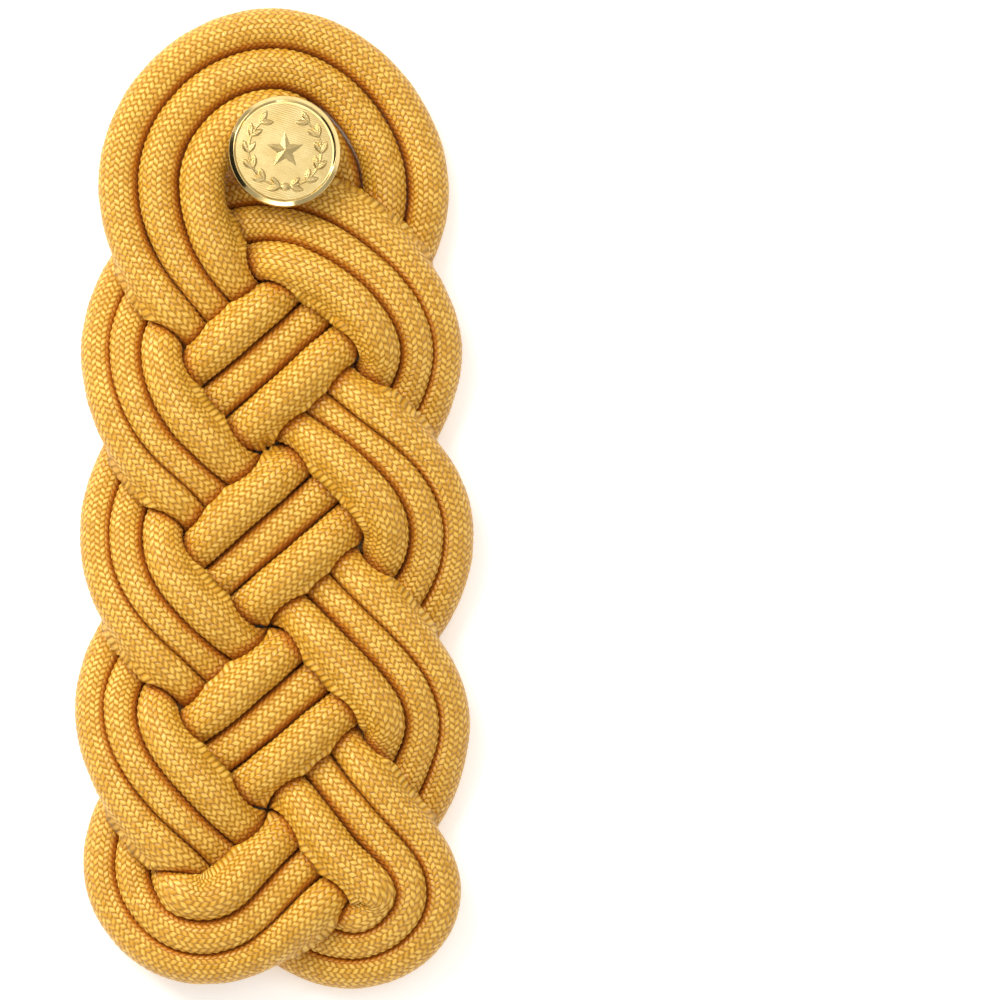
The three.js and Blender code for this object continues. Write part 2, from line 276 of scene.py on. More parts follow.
@dataclass(frozen=True)
class PlaitSizes:
    """Sizes of the plait in millimetres: its solids' own, and the last smoothing.

    ends and button are places as shares of half the width and of the length. push, pull,
    stiff and smoothing are shares of the way that a height goes in a round.
    """

    length: float = 138.7
    width: float = 55.6
    pitch: float = 5.25
    rest_plane: float = 6.7
    side_wave: float = 3.5
    middle_wave: float = 1.9
    bend_lean: float = 1.6
    pressed_distance: float = 5.0
    ends_x: float = -0.061
    ends_y: float = 0.644
    button_x: float = 0.048
    button_y: float = 0.853
    samples: int = 480
    self_clear: int = 18
    span_steps: int = 60
    settle_rounds: int = 160
    push: float = 0.35
    pull: float = 0.06
    stiff: float = 0.25
    smooth_rounds: int = 6
    smoothing: float = 0.5

    def shift(self) -> Array:
        """From the plait's own x and y to the frame's, by the button's post in both.

        Returns:
            The way in x, y and z.
        """
        foot = frame["record"]["mounts"][0]["pos_m"]
        own = (self.button_x * self.width / 2, self.button_y * self.length)
        return np.array([foot[0] / MM - own[0], foot[1] / MM - own[1], 0.0])


@dataclass(frozen=True)
class Plait:
    """The band's route over and under itself, and the three cords' middle lines."""

    sizes: PlaitSizes = PlaitSizes()

    def spans(self) -> Array:
        """Carries the band from row to row of its table.

        Each span is a cubic Bezier curve: (1-t)^3 P0 + 3(1-t)^2 t P1 + 3(1-t) t^2 P2 +
        t^3 P3, its handles at a share of the chord along the headings. The side cords'
        places ease from row to row with (1 - cos(pi t)) / 2.

        Returns:
            Rows of x, y, left, right and outer, all lengths in millimetres.
        """
        size = self.sizes
        rows = np.array(BAND_TABLE)
        place = rows[:, :2] * (size.width / 2, size.length)
        heading = np.radians(rows[:, 2])
        ahead = np.stack([np.cos(heading), np.sin(heading)], axis=1)
        chord = np.linalg.norm(np.roll(place, -1, axis=0) - place, axis=1)
        reach = rows[:, 3]
        first = place + ahead * (reach * chord)[:, None]
        last = np.roll(place - ahead * (reach * np.roll(chord, 1))[:, None], -1, axis=0)
        t = np.arange(size.span_steps)[None, :, None] / size.span_steps
        curve = (
            (1 - t) ** 3 * place[:, None]
            + 3 * (1 - t) ** 2 * t * first[:, None]
            + 3 * (1 - t) * t**2 * last[:, None]
            + t**3 * np.roll(place, -1, axis=0)[:, None]
        )
        ease = (1 - np.cos(np.pi * t)) / 2
        sides = rows[:, 4:] * (size.pitch, size.pitch, 1)
        between = sides[:, None] * (1 - ease) + np.roll(sides, -1, axis=0)[:, None] * ease
        return np.concatenate([curve, between], axis=2).reshape(-1, 5)

    def even_band(self) -> Array:
        """Sets the rows at even steps, beginning where the cords' ends meet.

        Returns:
            Rows like those of the spans, one for each sample.
        """
        size = self.sizes
        rows = self.spans()
        closed = np.vstack([rows, rows[:1]])
        steps = np.linalg.norm(np.diff(closed[:, :2], axis=0), axis=1)
        along = np.concatenate([[0], np.cumsum(steps)])
        ends = np.array([size.ends_x * size.width / 2, size.ends_y * size.length])
        start = along[np.argmin(np.linalg.norm(rows[:, :2] - ends, axis=1))]
        wanted = (start + np.arange(size.samples) / size.samples * along[-1]) % along[-1]
        columns = [np.interp(wanted, along, column) for column in closed.T]
        return np.stack(columns, axis=1)

    @staticmethod
    def crossing_stops(place: Array) -> Array:
        """Where along the line, in samples, it crosses itself.

        Two steps a + t d and b + u e cross where t = (b-a) x e / (d x e) and
        u = (b-a) x d / (d x e) both lie between 0 and 1.

        Args:
            place: the closed line's x and y.

        Returns:
            The stops, in order.
        """
        count = len(place)
        step = np.roll(place, -1, axis=0) - place
        i, j = np.triu_indices(count, 2)
        apart = ~((i == 0) & (j == count - 1))
        i, j = i[apart], j[apart]
        between, d, e = place[j] - place[i], step[i], step[j]
        turn = d[:, 0] * e[:, 1] - d[:, 1] * e[:, 0]
        t = (between[:, 0] * e[:, 1] - between[:, 1] * e[:, 0]) / turn
        u = (between[:, 0] * d[:, 1] - between[:, 1] * d[:, 0]) / turn
        meets = (t >= 0) & (t < 1) & (u >= 0) & (u < 1)
        return np.sort(np.concatenate([(i + t)[meets], (j + u)[meets]]))

    def lays(self, place: Array) -> Array:
        """Over and under by turns, 1 at one crossing and -1 at the next.

        Between them it is -sin(pi/2 cos(pi turn)), which is flat at both. The line
        begins at a crossing that it passes under.

        Args:
            place: the closed line's x and y.

        Returns:
            The lay at each sample, from -1 to 1.
        """
        count = self.sizes.samples
        stops = self.crossing_stops(place)
        ring = np.concatenate([[stops[-1] - count], stops, [stops[0] + count]])
        at = np.arange(count)
        k = np.searchsorted(ring, at, side="right") - 1
        near_start = 1 if stops[0] < count - stops[-1] else 0
        turn = k + (at - ring[k]) / (ring[k + 1] - ring[k]) - near_start
        return -np.sin(np.pi / 2 * np.cos(np.pi * turn))

    def goals(self) -> Array:
        """The three cords' middle lines before they press on each other.

        Returns:
            An array of cord, sample, and x, y, z.
        """
        size = self.sizes
        band = self.even_band()
        place, left, right, outer = band[:, :2], band[:, 2], band[:, 3], band[:, 4]
        lay = self.lays(place)
        chord = np.roll(place, -1, axis=0) - np.roll(place, 1, axis=0)
        to_right = unit(np.stack([chord[:, 1], -chord[:, 0]], axis=1))
        even_wave = (size.side_wave + size.middle_wave) / 2
        cords = []
        for side in Side:
            off = {Side.LEFT: -left, Side.MIDDLE: 0 * left, Side.RIGHT: right}[side]
            own_wave = size.middle_wave if side is Side.MIDDLE else size.side_wave
            wave = own_wave + (even_wave - own_wave) * np.abs(outer)
            plan = place + to_right * off[:, None]
            height = size.rest_plane + wave * lay - size.bend_lean * side.value * outer
            cords.append(np.column_stack([plan, height]))
        return np.array(cords)

    def settled(self) -> Array:
        """The cords' middle lines at rest.

        Each strand is pushed off those of another band that it lies on, drawn back
        towards its own wave and stiffened along its length, by turns, and its heights
        are at last smoothed.

        Returns:
            An array of cord, sample, and x, y, z.
        """
        size = self.sizes
        cords = self.goals()
        count = size.samples
        points = cords.reshape(-1, 3)
        at = np.tile(np.arange(count), len(cords))
        a, b = np.triu_indices(len(points), 1)
        apart = np.linalg.norm(points[a, :2] - points[b, :2], axis=1)
        steps = np.abs(at[a] - at[b])
        same_band = np.minimum(steps, count - steps) < size.self_clear
        near = (apart < size.pressed_distance) & ~same_band
        a, b, apart = a[near], b[near], apart[near]
        rise = np.sqrt(size.pressed_distance**2 - apart**2)
        goal = points[:, 2].copy()
        sign = np.where(goal[a] >= goal[b], 1.0, -1.0)
        height, many = goal.copy(), len(goal)
        shape = cords.shape[:2]
        for _ in range(size.settle_rounds):
            lack = np.maximum(rise - sign * (height[a] - height[b]), 0)
            hits = np.bincount(a, lack > 0, many) + np.bincount(b, lack > 0, many)
            moves = np.bincount(a, lack * sign, many) - np.bincount(b, lack * sign, many)
            height += size.push * moves / np.maximum(hits, 1) + size.pull * (goal - height)
            height = levelled(height.reshape(shape), size.stiff).reshape(-1)
        for _ in range(size.smooth_rounds):
            height = levelled(height.reshape(shape), size.smoothing).reshape(-1)
        points[:, 2] = height
        return points.reshape(cords.shape)


class Route:
    """A closed smooth line through even samples."""

    def __init__(self, line: Array) -> None:
        """Keeps the line and its length at each sample.

        Args:
            line: the samples' x, y and z.
        """
        self.line = line
        closed = np.vstack([line, line[:1]])
        steps = np.linalg.norm(np.diff(closed, axis=0), axis=1)
        self.along = np.concatenate([[0], np.cumsum(steps)])
        self.length = float(self.along[-1])

    def at(self, lengths: Array) -> Array:
        """Places at lengths along the line.

        A Catmull-Rom curve: half of 2 P1 + (P2-P0) t + (2 P0 - 5 P1 + 4 P2 - P3) t^2 +
        (3 P1 - P0 - 3 P2 + P3) t^3, from sample P1 to P2.

        Args:
            lengths: lengths along the line, which may run past its end.

        Returns:
            x, y and z at each length.
        """
        count = len(self.line)
        sample = np.interp(lengths % self.length, self.along, np.arange(count + 1))
        k = np.floor(sample).astype(int)
        t = (sample - k)[..., None]
        p0, p1, p2, p3 = (self.line[(k + step) % count] for step in (-1, 0, 1, 2))
        bend = 2 * p0 - 5 * p1 + 4 * p2 - p3
        swing = 3 * p1 - p0 - 3 * p2 + p3
        return (2 * p1 + (p2 - p0) * t + bend * t**2 + swing * t**3) / 2


@dataclass(frozen=True)
class BraidSizes:
    """Sizes of a round braided cord and of its stitches, in millimetres."""

    half_width: float = 3.25
    half_height: float = 3.1
    gap: float = 0.03
    shoulder: float = 1.1
    spread_limit: float = 5.4
    spread_blend: float = 0.9
    spread_levels: tuple[float, float] = (0.9, 0.98)
    inner_bend_share: float = 0.85
    bend_reach: float = 1.3
    press_range: float = 8.2
    self_clear: float = 23.0
    columns: int = 26
    lines: tuple[float, ...] = (0.0, 0.5)
    stitch_pitch: float = 0.95
    thread_slant: float = 26.0
    crest_rise: float = 0.07
    groove_depth: float = 0.06
    edge_depth: float = 0.04
    uneven: float = 0.03
    # How far the painted shade between cords reaches, and how it follows the neighbour's
    # height.
    shade_reach: float = 1.6
    shade_rise: float = 2.6
    stitches_per_uv: int = 1000
    fullness: tuple[float, float] = (0.7, 1.2)
    swells: tuple[tuple[int, int], ...] = ((23, 1), (41, 2), (67, 1), (97, 3), (149, 2))

    def slant_share(self) -> float:
        """How many stitches along a thread moves while it crosses one column."""
        column_width = 2 * math.pi * self.half_height / self.columns
        return column_width * math.tan(math.radians(self.thread_slant)) / self.stitch_pitch


@dataclass
class BraidedCord:
    """One cord of the plait, a round braid pressed against its neighbours.

    node is the solid that it stands for, route its middle line, plait the middle lines of
    all the cords, and near_count how many places beside each ring may press on it.
    """

    name: str
    node: str
    route: Route
    plait: list[Route]
    seed: int
    sizes: BraidSizes = BraidSizes()
    near_count: int = 110

    def __post_init__(self) -> None:
        """Divides the cord into half stitches."""
        self.random = np.random.default_rng(self.seed)
        self.rings = 2 * round(self.route.length / self.sizes.stitch_pitch)
        self.half_stitch = self.route.length / self.rings

    def frames(self) -> tuple[Array, Array, Array, Array]:
        """Rings along the cord at half stitches.

        Returns:
            Place, the level direction across, the direction up, and the pull of the bend,
            which is the second difference of the place over the reach squared.
        """
        reach = self.sizes.bend_reach
        lengths = np.arange(self.rings) * self.half_stitch
        place = self.route.at(lengths)
        back, front = self.route.at(lengths - reach), self.route.at(lengths + reach)
        heading = unit(front - back)
        level = np.stack([heading[:, 1], -heading[:, 0], 0 * heading[:, 0]], axis=1)
        across = unit(level)
        up = np.cross(across, heading)
        bend = (front + back - 2 * place) / reach**2
        return place, across, up, bend

    def angles(self) -> tuple[Array, Array, Array]:
        """Lines of vertices round the cord.

        Returns:
            The angle, column and share of the column of each.
        """
        columns = np.repeat(np.arange(self.sizes.columns), len(self.sizes.lines))
        share = np.tile(self.sizes.lines, self.sizes.columns)
        return (columns + share) * 2 * np.pi / self.sizes.columns, columns, share

    def neighbours(self, place: Array) -> tuple[Array, Array]:
        """What lies near each ring: other cords, and this one further along.

        Args:
            place: the rings' places.

        Returns:
            Directions to the nearest strands' places, and their distances, which are
            endless where a place is too far off to press.
        """
        size = self.sizes
        own_lengths = np.arange(self.rings) * self.half_stitch
        others, clear = [], []
        for route in self.plait:
            lengths = np.arange(0, route.length, size.stitch_pitch)
            others.append(route.at(lengths))
            steps = np.abs(lengths[None, :] - own_lengths[:, None])
            steps = np.minimum(steps, route.length - steps)
            same = route is self.route
            clear.append(same & (steps < size.self_clear))
        points, own = np.vstack(others), np.hstack(clear)
        distance = np.linalg.norm(points[None] - place[:, None], axis=2)
        distance[own | (distance > size.press_range)] = np.inf
        nearest = np.argpartition(distance, self.near_count, axis=1)[:, : self.near_count]
        distance = np.take_along_axis(distance, nearest, axis=1)
        toward = unit(points[nearest] - place[:, None])
        return toward, distance

    def reach(
        self, directions: Array, place: Array, bend: Array, angle: Array
    ) -> tuple[Array, Array]:
        """How far the cord's side stands from its middle line, and where shade is painted on
        it.

        Its own oval radius, or less where a neighbour presses it flat halfway to the
        neighbour's middle line, which is (distance - gap) / 2 over the cosine to it, or
        where the inside of its own bend is tight. Level with its middle line it spreads
        into a narrow gap, up to that same halfway plane. Shade is painted where it touches
        the halfway plane under a neighbour that lies higher, and less so the further it
        stands back from that plane.

        Args:
            directions: ring, line and direction.
            place: the rings' places.
            bend: the pull of the bend at each ring.
            angle: angle of each line round the cord.

        Returns:
            The radius and the share of painted shade, both by ring and line.
        """
        size = self.sizes
        oval = np.hypot(np.cos(angle) / size.half_width, np.sin(angle) / size.half_height)
        toward, distance = self.neighbours(place)
        facing = np.maximum(np.einsum("rla,rna->rln", directions, toward), TINY)
        planes = (distance[:, None] - size.gap) / 2 / facing
        closest = planes.argmin(axis=2)
        pressed = planes.min(axis=2)
        near_by = np.where(distance < size.press_range, distance, 0)
        higher = np.take_along_axis(toward[..., 2] * near_by, closest, axis=1)
        inward = np.einsum("rla,ra->rl", directions, bend)
        tight = size.inner_bend_share / np.maximum(inward, TINY)
        free = np.broadcast_to(1 / oval[None], pressed.shape)
        low, high = size.spread_levels
        level = eased((np.abs(np.cos(angle)) - low) / (high - low))[None]
        near = eased((size.spread_limit - pressed) / size.spread_blend)
        spread = free + np.clip(pressed - free, 0, None) * near * level
        radius = soft_least(spread, np.minimum(pressed, tight), size.shoulder)
        # Painted shade: the share of the cord darkened where a higher neighbour presses close.
        hidden = 1 - eased((pressed - radius) / size.shade_reach)
        hidden *= eased(0.5 + higher / size.shade_rise)
        return radius, hidden

    def unevenness(self, angle: Array) -> Array:
        """Slow swellings along and round the cord, a sum of sines that closes on itself.

        Args:
            angle: angle of each line round the cord.

        Returns:
            An array of ring and line, in millimetres.
        """
        turn = np.arange(self.rings)[:, None] * 2 * np.pi / self.rings
        total = np.zeros((self.rings, len(angle)))
        for waves, round_waves in self.sizes.swells:
            phase = self.random.uniform(0, 2 * np.pi)
            total += np.sin(waves * turn + round_waves * angle[None] + phase)
        return self.sizes.uneven * total / 2

    def surface(self) -> tuple[Array, Array, Array]:
        """The braid's surface.

        Rings of vertices are slid along each column so that rows of vertices lie on the
        slanting threads, alternately on a crest and in a groove, and are then raised or
        sunk along the surface's normal. A thread slants the other way in each next column
        and lies half a stitch further on.

        Returns:
            By ring and line: the place, the place on the braid's own map, which is
            columns round it and stitches along it, and the share of painted shade where
            neighbours hide it.
        """
        size = self.sizes
        place, across, up, bend = self.frames()
        angle, column, share = self.angles()
        directions = (
            across[:, None] * np.cos(angle)[None, :, None]
            + up[:, None] * np.sin(angle)[None, :, None]
        )
        radius, hidden = self.reach(directions, place, bend, angle)
        radius = radius + self.unevenness(angle)
        smooth = place[:, None] + directions * radius[..., None]
        along = np.roll(smooth, -1, axis=0) - np.roll(smooth, 1, axis=0)
        around = np.roll(smooth, -1, axis=1) - np.roll(smooth, 1, axis=1)
        normal = unit(np.cross(along, around))

        odd = column % 2
        slide = -(1 - 2 * odd) * (share - 0.5) * size.slant_share()
        ring = np.arange(self.rings)[:, None] + 2 * slide[None]
        first = np.floor(ring).astype(int)
        t = (ring - first)[..., None]
        line = np.broadcast_to(np.arange(len(angle)), ring.shape)
        here, there = first % self.rings, (first + 1) % self.rings
        laid = smooth[here, line] * (1 - t) + smooth[there, line] * t
        outward = unit(normal[here, line] * (1 - t) + normal[there, line] * t)

        half = np.arange(self.rings)[:, None] + odd[None]
        stitch = half // 2 % (self.rings // 2)
        fullness = self.random.uniform(*size.fullness, (self.rings // 2, size.columns))
        crest = size.crest_rise * fullness[stitch, column[None]]
        rise = np.where(half % 2 == 1, crest, -size.groove_depth)
        rise = np.where(share[None] == 0, -size.edge_depth, rise)
        points = laid + outward * rise[..., None]
        points[..., 2] = np.maximum(points[..., 2], 0)
        braid_map = np.stack([np.broadcast_to(column + share, ring.shape), ring / 2], axis=2)
        return points, braid_map, hidden[here, line]

    def build(self, shift: Array, material: Material) -> Object:
        """Makes the cord's mesh and dresses it.

        Args:
            shift: from the plait's own place to the frame's, in millimetres.
            material: the cord's finish.

        Returns:
            The cord, which stands for its plain solid.
        """
        points, braid_map, hidden = self.surface()
        rings, lines = points.shape[:2]
        corners = grid_corners(rings, lines)
        faces = np.stack([(r % rings) * lines + c % lines for r, c in corners], axis=-1)
        columns, stitches = self.sizes.columns, rings // 2
        map_corners = []
        for r, c in corners:
            u = braid_map[r % rings, c % lines, 0] + columns * (c == lines)
            v = braid_map[r % rings, c % lines, 1] + stitches * (r == rings)
            map_corners.append(np.stack([u / columns, v / self.sizes.stitches_per_uv], -1))
        uv = np.stack(map_corners, axis=2)
        vertices = (points + shift).reshape(-1, 3) * MM
        cord = mesh_object(self.name, vertices, faces.reshape(-1, 4), material)
        layer = cord.data.uv_layers.new(name="braid")
        layer.data.foreach_set("uv", uv.reshape(-1))
        # The painted shade between cords goes on the mesh as a point attribute.
        shade = cord.data.attributes.new("hidden", "FLOAT", "POINT")
        shade.data.foreach_set("value", hidden.astype(np.float32).reshape(-1))
        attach(cord, "root")
        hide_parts(self.node)
        return cord


def mesh_object(
    name: str, vertices: Array, quads: Array, material: Material
) -> Object:
    """Makes a smooth-shaded mesh object at the origin.

    Args:
        name: the object's name.
        vertices: places in metres.
        quads: four vertex numbers a face. The last two are the same in a triangle.
        material: the finish.

    Returns:
        The object, linked to the scene.
    """
    sides = np.where(quads[:, 2] == quads[:, 3], 3, 4)
    used = np.arange(4)[None] < sides[:, None]
    mesh = bpy.data.meshes.new(name)
    mesh.vertices.add(len(vertices))
    mesh.vertices.foreach_set("co", vertices.astype(np.float32).reshape(-1))
    mesh.loops.add(int(sides.sum()))
    mesh.loops.foreach_set("vertex_index", quads[used].astype(np.int32))
    mesh.polygons.add(len(quads))
    starts = np.concatenate([[0], np.cumsum(sides)[:-1]])
    mesh.polygons.foreach_set("loop_start", starts.astype(np.int32))
    mesh.polygons.foreach_set("use_smooth", np.ones(len(quads), bool))
    mesh.update(calc_edges=True)
    mesh.validate()
    mesh.materials.append(material)
    thing = bpy.data.objects.new(name, mesh)
    bpy.context.scene.collection.objects.link(thing)
    return thing


@dataclass(frozen=True)
class ButtonSizes:
    """Sizes of the stamped button: its solids' own, and its relief's, in millimetres.

    Places and heights on the rim are shares of its width and height. Those of the star,
    the stems and the veins are shares of the relief, the vein's width one of the leaf's.
    """

    diameter: float = 15.9
    tilt: float = math.radians(10)
    lean: float = math.radians(50)
    rim_width: float = 1.0
    rim_height: float = 2.3
    face_dome: float = 0.35
    face_sink: float = 0.25
    plate_diameter: float = 13.8
    plate_thickness: float = 0.9
    plate_gap: float = 0.3
    relief: float = 0.4
    wreath_radius: float = 5.2
    leaf_length: float = 1.9
    leaf_width: float = 0.85
    leaf_pairs: int = 6
    leaf_turns: tuple[float, float] = (17.0, 148.0)
    leaf_lift: float = 0.55
    leaf_splay: float = 0.5
    leaf_tip: float = 1e-3
    vein_depth: float = 0.35
    vein_width: float = 0.16
    stem_half: float = 0.16
    stem_height: float = 0.5
    stem_end: float = math.radians(150)
    tie_half: tuple[float, float] = (0.75, 0.5)
    star_radius: float = 2.7
    star_waist: float = 0.42
    star_height: float = 1.25
    star_hollow: float = 0.8
    crest_place: float = 0.35
    crest_foot: float = 0.05
    shoulder_share: float = 0.75
    skirt_share: float = 0.35
    hem_share: float = 0.3
    edge_rows: int = 8


@dataclass
class StampedButton:
    """The button's struck face: a polished rim round a star in a laurel wreath.

    Its mesh has a number of rounds of steps, and of face rows from the middle to the rim.
    """

    sizes: ButtonSizes = ButtonSizes()
    rounds: int = 420
    face_rows: int = 150

    def __post_init__(self) -> None:
        """Takes the button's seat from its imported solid."""
        low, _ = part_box("button_face")
        foot = frame["record"]["mounts"][0]["pos_m"]
        edge = self.sizes.diameter / 2 - self.sizes.rim_width * self.sizes.hem_share
        seat = low[2] / MM + edge * math.sin(self.sizes.tilt)
        self.seat = np.array([foot[0] / MM, foot[1] / MM, seat])

    def star(self, x: Array, y: Array) -> Array:
        """Height of a five-pointed star with a ridge to each point.

        The angle is folded into half a point. The star's edge there runs from the point
        (R, 0) to the waist at 36 degrees, and the height falls from the middle to the
        edge: peak (1 - r / edge)^hollow.

        Args:
            x: places across the face.
            y: places along it.

        Returns:
            The height at each place.
        """
        size = self.sizes
        half = np.pi / 5
        radius = np.hypot(x, y)
        turned = (np.arctan2(y, x) - np.pi / 2) % (2 * half)
        fold = np.minimum(turned, 2 * half - turned)
        tip = size.star_radius
        waist = tip * size.star_waist * np.array([math.cos(half), math.sin(half)])
        run, drop = waist[0] - tip, waist[1]
        edge = -tip * drop / (run * np.sin(fold) - drop * np.cos(fold))
        share = np.clip(1 - radius / edge, 0, None)
        return size.relief * size.star_height * share**size.star_hollow

    def leaf_rows(self) -> Array:
        """The wreath's leaves, in pairs up each of its two stems.

        Returns:
            For each leaf its angle on the wreath, its lift from the wreath's circle, and
            its heading.
        """
        size = self.sizes
        turns = np.radians(np.linspace(*size.leaf_turns, size.leaf_pairs))
        rows = []
        for hand in (-1, 1):
            for turn in turns:
                angle = -np.pi / 2 + hand * turn
                along = angle + hand * np.pi / 2
                for out in (1, -1):
                    lift = out * size.leaf_width * size.leaf_lift
                    rows.append((angle, lift, along - out * hand * size.leaf_splay))
        return np.array(rows)

    def wreath(self, x: Array, y: Array) -> Array:
        """Height of the wreath's pointed leaves, with a vein sunk along each.

        In a leaf's own a along and b across, both from -1 to 1, its edge is at
        |b| = 1 - a^2, and it stands sqrt(1 - |b| / edge) high, less the vein.

        Args:
            x: places across the face.
            y: places along it.

        Returns:
            The height at each place.
        """
        size = self.sizes
        height = np.zeros_like(x)
        for angle, lift, heading in self.leaf_rows():
            radius = size.wreath_radius + lift
            dx, dy = x - radius * math.cos(angle), y - radius * math.sin(angle)
            a = (dx * math.cos(heading) + dy * math.sin(heading)) / (size.leaf_length / 2)
            b = (dy * math.cos(heading) - dx * math.sin(heading)) / (size.leaf_width / 2)
            edge = np.maximum(1 - a**2, size.leaf_tip)
            full = np.sqrt(np.clip(1 - np.abs(b) / edge, 0, None)) * (np.abs(a) < 1)
            vein = size.vein_depth * np.exp(-((b / size.vein_width) ** 2)) * full
            height = np.maximum(height, size.relief * (full - vein))
        return height

    def stems(self, x: Array, y: Array) -> Array:
        """Height of the wreath's two stems and of the tie that holds them at the foot.

        A stem stands sqrt(1 - s^2) high, s from -1 to 1 across it, and the tie does so
        over an oval.

        Args:
            x: places across the face.
            y: places along it.

        Returns:
            The height at each place.
        """
        size = self.sizes
        radius = np.hypot(x, y)
        from_foot = np.abs((np.arctan2(y, x) + np.pi / 2 + np.pi) % (2 * np.pi) - np.pi)
        across = (radius - size.wreath_radius) / size.stem_half
        stem = size.relief * size.stem_height * np.sqrt(np.clip(1 - across**2, 0, None))
        stem = stem * (from_foot < size.stem_end)
        tie_x, tie_y = x / size.tie_half[0], (y + size.wreath_radius) / size.tie_half[1]
        tie = size.relief * np.sqrt(np.clip(1 - tie_x**2 - tie_y**2, 0, None))
        return np.maximum(stem, tie)

    def profile(self) -> tuple[Array, Array]:
        """Radius and height of the turned face, from the middle out and round to the back.

        Returns:
            Radius and height of each row.
        """
        size = self.sizes
        outer = size.diameter / 2
        ground = outer - size.rim_width
        share = np.linspace(0, 1, self.face_rows)
        low = size.rim_height - size.face_sink
        face = np.stack([ground * share, low + size.face_dome * (1 - share**2)], axis=1)
        back_radius = size.plate_diameter / 2 + size.plate_gap
        back_height = size.plate_thickness + size.plate_gap
        t = np.linspace(0, 1, size.edge_rows + 1)[1:, None]
        stops = (
            (ground + size.crest_foot, low),
            (ground + size.crest_place * size.rim_width, size.rim_height),
            (outer, size.shoulder_share * size.rim_height),
            (outer, size.skirt_share * size.rim_height),
            (outer - size.hem_share * size.rim_width, 0.0),
            (back_radius, 0.0),
            (back_radius, back_height),
            (0.0, back_height),
        )
        rows = [face]
        for start, stop in zip((face[-1], *stops), stops):
            rows.append(np.array(start) * (1 - t) + np.array(stop) * t)
        whole = np.concatenate(rows)
        return whole[:, 0], whole[:, 1]

    def build(self, material: Material) -> Object:
        """Makes the face's mesh and dresses it.

        Args:
            material: the gilt finish.

        Returns:
            The face, which stands for its plain solid.
        """
        size = self.sizes
        radius, height = self.profile()
        angle = np.arange(self.rounds) * 2 * np.pi / self.rounds
        x = radius[1:-1, None] * np.cos(angle)
        y = radius[1:-1, None] * np.sin(angle)
        z = np.repeat(height[1:-1, None], self.rounds, axis=1)
        face = self.face_rows - 1
        relief = np.maximum(self.star(x, y), np.maximum(self.wreath(x, y), self.stems(x, y)))
        z[:face] += relief[:face]
        peak = height[0] + size.relief * size.star_height
        middle = [[0, 0, peak], [0, 0, height[-1]]]
        points = np.concatenate([np.stack([x, y, z], axis=2).reshape(-1, 3), middle])
        rows = len(radius) - 2
        corners = grid_corners(rows - 1, self.rounds)
        grid = np.stack([r * self.rounds + c % self.rounds for r, c in corners], axis=-1)
        turn = np.arange(self.rounds)
        after = (turn + 1) % self.rounds
        top, bottom = rows * self.rounds, rows * self.rounds + 1
        last = (rows - 1) * self.rounds
        cap_top = np.stack([0 * turn + top, turn, after, after], axis=1)
        cap_bottom = [0 * turn + bottom, last + after, last + turn, last + turn]
        faces = np.concatenate([grid.reshape(-1, 4), cap_top, np.stack(cap_bottom, axis=1)])
        button = mesh_object("button_struck_face", self.placed(points) * MM, faces, material)
        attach(button, "root")
        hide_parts("button_face")
        return button

    def placed(self, points: Array) -> Array:
        """Leans points made about +Z as the button lies, and puts them on its seat.

        The turn is p cos a + (k x p) sin a + k (k . p) (1 - cos a).

        Args:
            points: places about the button's own middle, in millimetres.

        Returns:
            Their places in the frame.
        """
        tilt, lean = self.sizes.tilt, self.sizes.lean
        axis = np.array([-math.sin(lean), math.cos(lean), 0.0])
        turned = (
            points * math.cos(tilt)
            + np.cross(axis, points) * math.sin(tilt)
            + np.outer(points @ axis, axis) * (1 - math.cos(tilt))
        )
        return turned + self.seat


